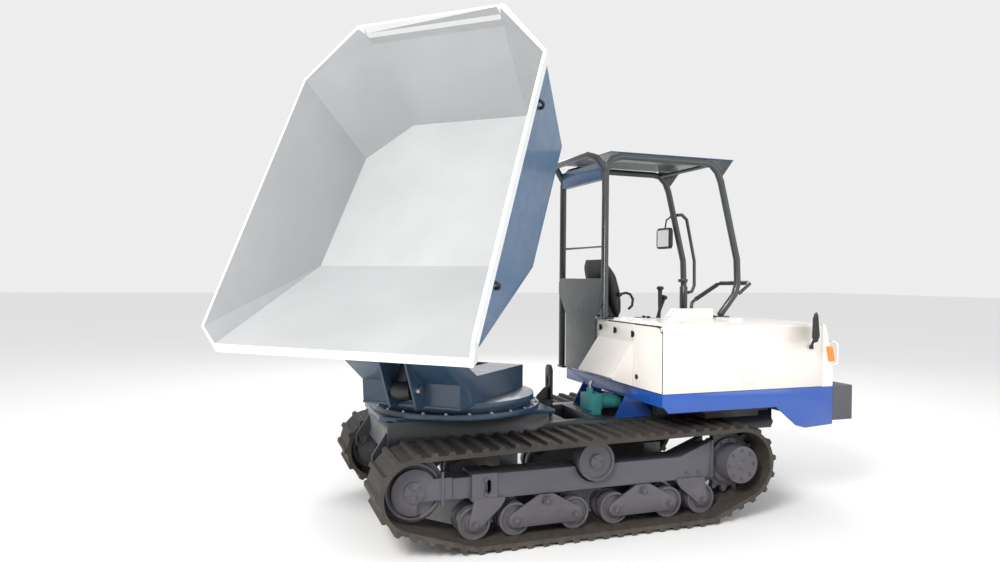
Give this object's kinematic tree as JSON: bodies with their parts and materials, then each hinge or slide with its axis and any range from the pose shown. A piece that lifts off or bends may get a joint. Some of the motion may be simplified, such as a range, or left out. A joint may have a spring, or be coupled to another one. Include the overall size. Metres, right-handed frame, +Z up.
{
  "type": "tracked dumper",
  "caption": "Ride-on rubber-tracked carrier whose open skip slews on a ring and tips on a hydraulic cylinder, with engine hood, seat and roll-over roof frame",
  "frame": {"origin": "on the ground, on the centre line, midway along the stretch of belt that touches the ground", "axes": "+X is the travel direction (towards the engine end's bumper weight), +Y is the machine's left, +Z is up; millimetre source, metre row"},
  "size_m": [3.9165, 2.3048, 2.9609],
  "materials": {
    "track_grey": "satin, dusty, chipped at the edges",
    "belt_rubber": "matt, dusty, worn lug faces",
    "roller_steel": "dull grey paint, worn rims",
    "chassis_black": "satin",
    "turntable_blue": "satin",
    "skip_light": "satin, light scuffs inside",
    "skip_blue": "satin",
    "skirt_blue": "gloss",
    "hood_cream": "gloss",
    "weight_grey": "satin, grainy casting",
    "black_paint": "satin",
    "frame_grey": "satin",
    "steel": "machined",
    "rod_chrome": "polished",
    "engine_iron": "dull paint",
    "pump_teal": "satin",
    "seat_vinyl": "grained vinyl over foam",
    "tank_black": "moulded",
    "black_plastic": "moulded",
    "lamp_orange": "ribbed lens"
  },
  "bodies": {
    "chassis": {"track_frame_right": "track_grey", "track_frame_left": "track_grey", "track_belt_right": "belt_rubber", "track_belt_left": "belt_rubber", "idler_yokes": "track_grey", "drive_motors": "engine_iron", "chassis_frame": "chassis_black", "side_frame": "skirt_blue", "slew_ring": "turntable_blue", "lifting_plate": "black_paint", "rear_cover": "hood_cream", "front_cowl": "hood_cream", "bumper_weight": "weight_grey", "engine": "engine_iron", "hydraulic_pump": "pump_teal", "console": "hood_cream", "seat_base": "tank_black", "rops_frame": "frame_grey", "rops_roof": "frame_grey", "back_panel": "frame_grey", "handrails": "frame_grey", "indicator_lamp": "lamp_orange"},
    "sprocket_body_right": {"sprocket_right": "roller_steel"},
    "idler_body_right": {"idler_right": "roller_steel"},
    "carrier_body_right": {"carrier_roller_right": "roller_steel"},
    "bogie_body_rear_right": {"bogie_rear_right": "track_grey"},
    "bogie_body_front_right": {"bogie_front_right": "track_grey"},
    "roller_body_1_right": {"roller_1_right": "roller_steel"},
    "roller_body_2_right": {"roller_2_right": "roller_steel"},
    "roller_body_3_right": {"roller_3_right": "roller_steel"},
    "roller_body_4_right": {"roller_4_right": "roller_steel"},
    "roller_body_5_right": {"roller_5_right": "roller_steel"},
    "roller_body_6_right": {"roller_6_right": "roller_steel"},
    "sprocket_body_left": {"sprocket_left": "roller_steel"},
    "idler_body_left": {"idler_left": "roller_steel"},
    "carrier_body_left": {"carrier_roller_left": "roller_steel"},
    "bogie_body_rear_left": {"bogie_rear_left": "track_grey"},
    "bogie_body_front_left": {"bogie_front_left": "track_grey"},
    "roller_body_1_left": {"roller_1_left": "roller_steel"},
    "roller_body_2_left": {"roller_2_left": "roller_steel"},
    "roller_body_3_left": {"roller_3_left": "roller_steel"},
    "roller_body_4_left": {"roller_4_left": "roller_steel"},
    "roller_body_5_left": {"roller_5_left": "roller_steel"},
    "roller_body_6_left": {"roller_6_left": "roller_steel"},
    "upper": {"turntable": "turntable_blue", "pivot_pins": "steel"},
    "skip": {"skip_shell": "skip_light", "skip_subframe": "skip_blue", "lashing_hooks": "black_paint"},
    "barrel": {"cylinder_barrel": "black_paint"},
    "rod": {"cylinder_rod": "rod_chrome"},
    "hood": {"engine_hood": "hood_cream"},
    "latch": {"hood_latch": "hood_cream"},
    "lever_drive": {"drive_lever": "black_plastic"},
    "lever_tip": {"tip_lever": "black_plastic"},
    "seat": {"seat_cushion": "seat_vinyl"},
    "backrest": {"seat_backrest": "seat_vinyl"},
    "arm": {"armrest": "black_plastic"},
    "mirror_l": {"mirror_left": "black_plastic"},
    "mirror_r": {"mirror_right": "black_plastic"}
  },
  "joints": [
    {"name": "drive_right", "type": "hinge", "parent": "chassis", "child": "sprocket_body_right", "pos_m": [0.951, -0.559, 0.342], "axis": [0, 1, 0], "continuous": true},
    {"name": "idler_spin_right", "type": "hinge", "parent": "chassis", "child": "idler_body_right", "pos_m": [-1.05, -0.559, 0.333], "axis": [0, 1, 0], "continuous": true},
    {"name": "carrier_spin_right", "type": "hinge", "parent": "chassis", "child": "carrier_body_right", "pos_m": [0, -0.559, 0.4225], "axis": [0, 1, 0], "continuous": true},
    {"name": "bogie_rock_rear_right", "type": "hinge", "parent": "chassis", "child": "bogie_body_rear_right", "pos_m": [-0.302, -0.559, 0.2265], "axis": [0, 1, 0], "range_deg": [-5, 5], "deforming": ["track_belt_right"]},
    {"name": "bogie_rock_front_right", "type": "hinge", "parent": "chassis", "child": "bogie_body_front_right", "pos_m": [0.314, -0.559, 0.2265], "axis": [0, 1, 0], "range_deg": [-5, 5], "deforming": ["track_belt_right"]},
    {"name": "roller_spin_1_right", "type": "hinge", "parent": "chassis", "child": "roller_body_1_right", "pos_m": [-0.717, -0.559, 0.1345], "axis": [0, 1, 0], "continuous": true},
    {"name": "roller_spin_2_right", "type": "hinge", "parent": "bogie_body_rear_right", "child": "roller_body_2_right", "pos_m": [-0.481, -0.559, 0.1345], "axis": [0, 1, 0], "continuous": true},
    {"name": "roller_spin_3_right", "type": "hinge", "parent": "bogie_body_rear_right", "child": "roller_body_3_right", "pos_m": [-0.123, -0.559, 0.1345], "axis": [0, 1, 0], "continuous": true},
    {"name": "roller_spin_4_right", "type": "hinge", "parent": "bogie_body_front_right", "child": "roller_body_4_right", "pos_m": [0.135, -0.559, 0.1345], "axis": [0, 1, 0], "continuous": true},
    {"name": "roller_spin_5_right", "type": "hinge", "parent": "bogie_body_front_right", "child": "roller_body_5_right", "pos_m": [0.493, -0.559, 0.1345], "axis": [0, 1, 0], "continuous": true},
    {"name": "roller_spin_6_right", "type": "hinge", "parent": "chassis", "child": "roller_body_6_right", "pos_m": [0.725, -0.559, 0.1345], "axis": [0, 1, 0], "continuous": true},
    {"name": "drive_left", "type": "hinge", "parent": "chassis", "child": "sprocket_body_left", "pos_m": [0.951, 0.559, 0.342], "axis": [0, 1, 0], "continuous": true},
    {"name": "idler_spin_left", "type": "hinge", "parent": "chassis", "child": "idler_body_left", "pos_m": [-1.05, 0.559, 0.333], "axis": [0, 1, 0], "continuous": true},
    {"name": "carrier_spin_left", "type": "hinge", "parent": "chassis", "child": "carrier_body_left", "pos_m": [0, 0.559, 0.4225], "axis": [0, 1, 0], "continuous": true},
    {"name": "bogie_rock_rear_left", "type": "hinge", "parent": "chassis", "child": "bogie_body_rear_left", "pos_m": [-0.302, 0.559, 0.2265], "axis": [0, 1, 0], "range_deg": [-5, 5], "deforming": ["track_belt_left"]},
    {"name": "bogie_rock_front_left", "type": "hinge", "parent": "chassis", "child": "bogie_body_front_left", "pos_m": [0.314, 0.559, 0.2265], "axis": [0, 1, 0], "range_deg": [-5, 5], "deforming": ["track_belt_left"]},
    {"name": "roller_spin_1_left", "type": "hinge", "parent": "chassis", "child": "roller_body_1_left", "pos_m": [-0.717, 0.559, 0.1345], "axis": [0, 1, 0], "continuous": true},
    {"name": "roller_spin_2_left", "type": "hinge", "parent": "bogie_body_rear_left", "child": "roller_body_2_left", "pos_m": [-0.481, 0.559, 0.1345], "axis": [0, 1, 0], "continuous": true},
    {"name": "roller_spin_3_left", "type": "hinge", "parent": "bogie_body_rear_left", "child": "roller_body_3_left", "pos_m": [-0.123, 0.559, 0.1345], "axis": [0, 1, 0], "continuous": true},
    {"name": "roller_spin_4_left", "type": "hinge", "parent": "bogie_body_front_left", "child": "roller_body_4_left", "pos_m": [0.135, 0.559, 0.1345], "axis": [0, 1, 0], "continuous": true},
    {"name": "roller_spin_5_left", "type": "hinge", "parent": "bogie_body_front_left", "child": "roller_body_5_left", "pos_m": [0.493, 0.559, 0.1345], "axis": [0, 1, 0], "continuous": true},
    {"name": "roller_spin_6_left", "type": "hinge", "parent": "chassis", "child": "roller_body_6_left", "pos_m": [0.725, 0.559, 0.1345], "axis": [0, 1, 0], "continuous": true},
    {"name": "slew", "type": "hinge", "parent": "chassis", "child": "upper", "pos_m": [-0.641, 0, 0.7], "axis": [0, 0, 1], "range_deg": [-137, 43]},
    {"name": "tip", "type": "hinge", "parent": "upper", "child": "skip", "pos_m": [-1.26707, -0.67138, 1.147], "axis": [0.7314, -0.682, 0], "range_deg": [-56.5, 0]},
    {"name": "cylinder_swing", "type": "hinge", "parent": "upper", "child": "barrel", "pos_m": [-1.0652, -0.4549, 0.85], "axis": [0.7314, -0.682, 0], "range_deg": [-60.87, 0.2]},
    {"name": "cylinder_stroke", "type": "slide", "parent": "barrel", "child": "rod", "axis": [0.2767, 0.2967, 0.914], "range_m": [-0.3933, 0.0005]},
    {"name": "hood_tilt", "type": "hinge", "parent": "chassis", "child": "hood", "pos_m": [1.551, -0.387, 1.184], "axis": [0, 1, 0], "range_deg": [0, 60]},
    {"name": "latch_pull", "type": "hinge", "parent": "hood", "child": "latch", "pos_m": [1, -0.7235, 0.896], "axis": [-1, 0, 0], "range_deg": [0, 45]},
    {"name": "drive_lever_swing", "type": "hinge", "parent": "chassis", "child": "lever_drive", "pos_m": [0.843, 0.04, 1.148], "axis": [0, 1, 0], "range_deg": [-18, 18]},
    {"name": "tip_lever_swing", "type": "hinge", "parent": "chassis", "child": "lever_tip", "pos_m": [0.843, 0.088, 1.148], "axis": [0, 1, 0], "range_deg": [-12, 12]},
    {"name": "seat_slide", "type": "slide", "parent": "chassis", "child": "seat", "axis": [1, 0, 0], "range_m": [-0.04, 0.06]},
    {"name": "backrest_recline", "type": "hinge", "parent": "seat", "child": "backrest", "pos_m": [0.6, 0.37, 1.105], "axis": [0, 1, 0], "range_deg": [-8, 6]},
    {"name": "armrest_lift", "type": "hinge", "parent": "backrest", "child": "arm", "pos_m": [0.6, 0.166, 1.35], "axis": [0, -1, 0], "range_deg": [0, 70]},
    {"name": "mirror_left_turn", "type": "hinge", "parent": "chassis", "child": "mirror_l", "pos_m": [1.378, 0.72, 1.968], "axis": [0, 1, 0], "range_deg": [-10, 20]},
    {"name": "mirror_right_turn", "type": "hinge", "parent": "hood", "child": "mirror_r", "pos_m": [1.462, -0.732, 1.042], "axis": [0, 0, 1], "range_deg": [-40, 20]}
  ],
  "couplings": [
    {"joint": "idler_spin_right", "follows": "drive_right", "ratio": 1.1236},
    {"joint": "carrier_spin_right", "follows": "drive_right", "ratio": 1.8018},
    {"joint": "roller_spin_1_right", "follows": "drive_right", "ratio": 2.1858},
    {"joint": "roller_spin_2_right", "follows": "drive_right", "ratio": 2.1858},
    {"joint": "roller_spin_3_right", "follows": "drive_right", "ratio": 2.1858},
    {"joint": "roller_spin_4_right", "follows": "drive_right", "ratio": 2.1858},
    {"joint": "roller_spin_5_right", "follows": "drive_right", "ratio": 2.1858},
    {"joint": "roller_spin_6_right", "follows": "drive_right", "ratio": 2.1858},
    {"joint": "idler_spin_left", "follows": "drive_left", "ratio": 1.1236},
    {"joint": "carrier_spin_left", "follows": "drive_left", "ratio": 1.8018},
    {"joint": "roller_spin_1_left", "follows": "drive_left", "ratio": 2.1858},
    {"joint": "roller_spin_2_left", "follows": "drive_left", "ratio": 2.1858},
    {"joint": "roller_spin_3_left", "follows": "drive_left", "ratio": 2.1858},
    {"joint": "roller_spin_4_left", "follows": "drive_left", "ratio": 2.1858},
    {"joint": "roller_spin_5_left", "follows": "drive_left", "ratio": 2.1858},
    {"joint": "roller_spin_6_left", "follows": "drive_left", "ratio": 2.1858},
    {"joint": "cylinder_swing", "follows": "tip", "ratio": 1.0685},
    {"joint": "cylinder_stroke", "follows": "tip", "m_per_rad": 0.39778}
  ]
}
